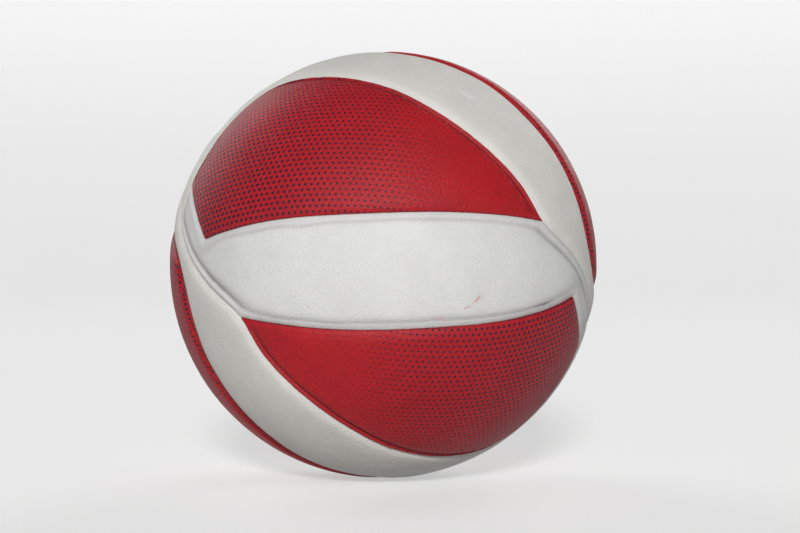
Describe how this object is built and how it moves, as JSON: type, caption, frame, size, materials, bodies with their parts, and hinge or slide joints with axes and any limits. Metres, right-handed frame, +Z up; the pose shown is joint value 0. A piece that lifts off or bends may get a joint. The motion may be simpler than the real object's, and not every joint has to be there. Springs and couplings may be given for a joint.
{
  "type": "volleyball",
  "caption": "Padded match volleyball with swirling white and red leather panels over a rubber layer, a thread-wound bladder and an inflation valve.",
  "frame": {"origin": "centre of the ball", "axes": "+Y out along the valve's axis, -Y out through the middle of one middle white panel, +Z up as the ball lies in the picture"},
  "size_m": [0.2098, 0.2093, 0.2098],
  "materials": {
    "white_leather": "fine pebbled grain, satin",
    "red_leather": "fine pebbled grain, satin, printed in dark blue",
    "foam": "closed-cell foam",
    "carcass_rubber": "matt",
    "nylon_thread": "wound thread",
    "butyl_rubber": "smooth",
    "valve_rubber": "smooth"
  },
  "bodies": {
    "root": {"bladder": "butyl_rubber", "cover_long_1": "white_leather", "cover_long_2": "white_leather", "cover_long_3": "white_leather", "cover_middle_1": "white_leather", "cover_middle_2": "white_leather", "cover_middle_3": "white_leather", "cover_red_1": "red_leather", "cover_red_2": "red_leather", "cover_red_3": "red_leather", "cover_red_4": "red_leather", "cover_red_5": "red_leather", "cover_red_6": "red_leather", "pad_long_1": "foam", "pad_long_2": "foam", "pad_long_3": "foam", "pad_middle_1": "foam", "pad_middle_2": "foam", "pad_middle_3": "foam", "pad_red_1": "foam", "pad_red_2": "foam", "pad_red_3": "foam", "pad_red_4": "foam", "pad_red_5": "foam", "pad_red_6": "foam", "rubber_layer": "carcass_rubber", "thread_winding": "nylon_thread", "valve_core": "valve_rubber", "valve_seat": "valve_rubber"}
  },
  "joints": []
}
